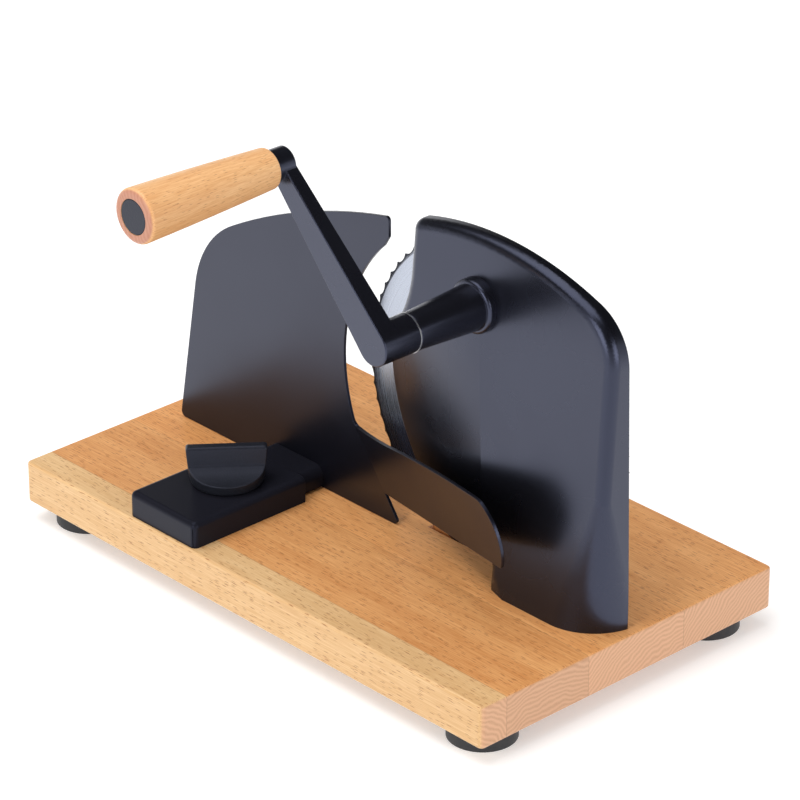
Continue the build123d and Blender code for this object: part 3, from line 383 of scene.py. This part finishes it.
def cut_drives(piece, axis, way, width, depth):
    """Cuts a cross recess, narrower towards its floor, into every screw head."""
    work = bmesh.new()
    half, thin, deep = width / 2 / MM, width / 9 / MM, depth / MM
    for head in screw_heads(piece.data, axis, way):
        rings = []
        for z, reach, waist in ((deep, half, thin), (-deep, 0.55 * half, 0.8 * thin)):
            corners = [(reach, -waist), (reach, waist), (waist, waist)]
            for _ in range(3):
                corners += [(-y, x) for x, y in corners[-3:]]
            spots = [(x, y, z * way) if axis == 2 else (x, z * way, y) for x, y in corners]
            rings.append([work.verts.new(head + Vector(spot)) for spot in spots])
        above, below = rings
        work.faces.new(above)
        work.faces.new(below)
        for i in range(len(above)):
            work.faces.new((above[i - 1], above[i], below[i], below[i - 1]))
    bmesh.ops.recalc_face_normals(work, faces=work.faces)
    data = bpy.data.meshes.new("drive_cutter")
    work.to_mesh(data)
    work.free()
    cutter = bpy.data.objects.new("drive_cutter", data)
    bpy.context.scene.collection.objects.link(cutter)
    cut = piece.modifiers.new("drives", "BOOLEAN")
    cut.operation = "DIFFERENCE"
    cut.solver = "EXACT"
    cut.object = cutter
    bpy.ops.object.modifier_apply(modifier=cut.name)
    bpy.data.objects.remove(cutter)


def mould(piece, voxel):
    """Rounds every edge of a merged copy as an injection mould does."""
    grid = piece.modifiers.new("even_skin", "REMESH")
    grid.mode = "VOXEL"
    grid.voxel_size = voxel / MM
    bpy.ops.object.modifier_apply(modifier=grid.name)
    ease = piece.modifiers.new("rounded_skin", "SMOOTH")
    ease.factor = 0.5
    ease.iterations = 6
    bpy.ops.object.modifier_apply(modifier=ease.name)


def finish_solid(name, finish):
    """A merged, softly shaded copy of a solid stands for it, so that curves look curved."""
    bpy.ops.object.select_all(action="DESELECT")
    solid = solids[name]
    piece = solid.copy()
    piece.data = solid.data.copy()
    piece.name = name + "_finished"
    piece.parent = None
    bpy.context.scene.collection.objects.link(piece)
    bpy.context.view_layer.objects.active = piece
    piece.select_set(True)
    bpy.ops.object.mode_set(mode="EDIT")
    bpy.ops.mesh.select_all(action="SELECT")
    bpy.ops.mesh.remove_doubles(threshold=0.000002)
    bpy.ops.mesh.customdata_custom_splitnormals_clear()
    bpy.ops.object.mode_set(mode="OBJECT")
    if name in drives:
        cut_drives(piece, *drives[name])
    if name in moulded:
        mould(piece, moulded[name])
    bpy.ops.object.shade_smooth_by_angle(angle=math.radians(SHARP_ANGLE))
    even = piece.modifiers.new("even_faces", "WEIGHTED_NORMAL")
    even.keep_sharp = True
    even.weight = 100
    bpy.ops.object.modifier_apply(modifier=even.name)
    piece.data.materials.clear()
    piece.data.materials.append(finish)
    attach(piece, body_of_node[name])
    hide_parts(name)


for finish, names in finishes.items():
    for name in names:
        finish_solid(name, finish)


# --- floor, light and camera ------------------------------------------------
def add_plane(name, size, height, finish):
    """A square of stage scenery, level and centred."""
    bpy.ops.object.select_all(action="DESELECT")
    bpy.ops.mesh.primitive_plane_add(size=size, location=(0, 0, height))
    plane = bpy.context.active_object
    plane.name = name
    plane.data.materials.append(finish)
    return plane


def studio_floor():
    """Pale floor that reads as white and keeps the shadow under the board."""
    finish, tree, shader = new_finish(
        "pale_studio_floor", Base_Color=linear("#EDEDED"), Roughness=0.9, Specular_IOR_Level=0.1
    )
    seen = add_node(tree, "LightPath").outputs
    mirrored = calc(tree, "MAXIMUM", seen["Is Glossy Ray"], seen["Is Transmission Ray"])
    direct = calc(tree, "MULTIPLY", seen["Is Camera Ray"], 0.35)
    tree.links.new(calc(tree, "MAXIMUM", direct, mirrored), shader.inputs["Emission Strength"])
    shader.inputs["Emission Color"].default_value = (1, 1, 1, 1)
    add_plane("studio_floor", 60, 0, finish)


def soft_lamp(name, place, aim, size, power):
    """A square studio soft box."""
    lamp = bpy.data.lights.new(name, "AREA")
    lamp.shape = "SQUARE"
    lamp.size = size
    lamp.energy = power
    stand = bpy.data.objects.new(name, lamp)
    bpy.context.scene.collection.objects.link(stand)
    stand.location = place
    stand.rotation_euler = (Vector(aim) - Vector(place)).to_track_quat("-Z", "Y").to_euler()


def studio_light():
    """White surroundings, a large overhead soft box, and fills from the front and the right."""
    world = bpy.data.worlds.new("white_studio")
    bpy.context.scene.world = world
    world.use_nodes = True
    tree = world.node_tree
    tree.nodes.clear()
    seen = add_node(tree, "LightPath").outputs
    shows = calc(tree, "MAXIMUM", seen["Is Camera Ray"], seen["Is Glossy Ray"])
    shows = calc(tree, "MAXIMUM", shows, seen["Is Transmission Ray"])
    level = remap(tree, shows, 0.0, 1.0, 0.42, 1.0)
    sky = add_node(tree, "Background", {"Color": (1, 1, 1, 1), "Strength": level})
    add_node(tree, "OutputWorld", {"Surface": sky.outputs[0]})
    soft_lamp("overhead_box", (-0.3, -0.4, 1.7), (0, 0, 0.05), 1.5, 20)
    soft_lamp("front_box", (0.2, -1.7, 0.75), (0, 0, 0.1), 1.0, 12)
    soft_lamp("right_box", (1.8, 0.1, 0.6), (0, 0, 0.1), 0.9, 9)


def dark_ceiling():
    """Black cloth over the stage, seen only in reflections: it keeps the coats' tops dark."""
    finish = new_finish(
        "black_flocked_cloth", Base_Color=linear("#050505"), Roughness=1.0, Specular_IOR_Level=0.0
    )[0]
    cloth = add_plane("dark_ceiling", 9.0, 2.0, finish)
    cloth.visible_camera = False
    cloth.visible_diffuse = False
    cloth.visible_shadow = False


def camera():
    """Camera placed by the board's vanishing lines in the photograph."""
    view = bpy.data.cameras.new("photo_view")
    view.lens = 187.47
    view.sensor_width = 36
    view.clip_end = 50
    stand = bpy.data.objects.new("photo_view", view)
    bpy.context.scene.collection.objects.link(stand)
    stand.location = (1.36084, -1.26314, 1.03418)
    stand.rotation_euler = (math.radians(63.21), 0, math.radians(46.98))
    bpy.context.scene.camera = stand


studio_floor()
studio_light()
dark_ceiling()
camera()
bpy.context.scene.view_settings.view_transform = "Standard"
